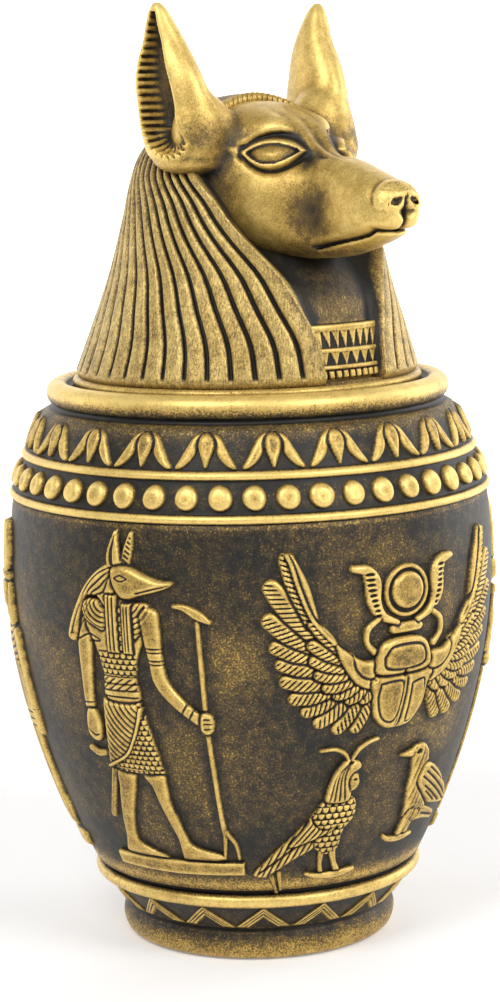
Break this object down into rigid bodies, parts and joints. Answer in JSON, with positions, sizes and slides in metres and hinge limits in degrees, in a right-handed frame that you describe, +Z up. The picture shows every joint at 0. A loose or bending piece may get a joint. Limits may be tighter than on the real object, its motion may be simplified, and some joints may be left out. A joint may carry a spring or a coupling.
{
  "type": "canopic jar",
  "caption": "Hollow cast jar with bands and figures in relief, closed by a lift-off lid shaped as a jackal's head in a striped headcloth.",
  "frame": {"origin": "middle of the jar's flat underside", "axes": "+Z up through the jar and the lid; the jackal's face and the winged beetle look along -Y; +X is the jackal's left"},
  "size_m": [0.1052, 0.1088, 0.2],
  "materials": {
    "jar_gilt": "cast resin, antique gold brushed over a near-black patina that stays in the grooves and on the plain wall",
    "lid_gilt": "cast resin, antique gold brushed over a near-black patina that stays in the grooves"
  },
  "bodies": {
    "root": {"jar": "jar_gilt", "lid": "lid_gilt"}
  },
  "joints": []
}
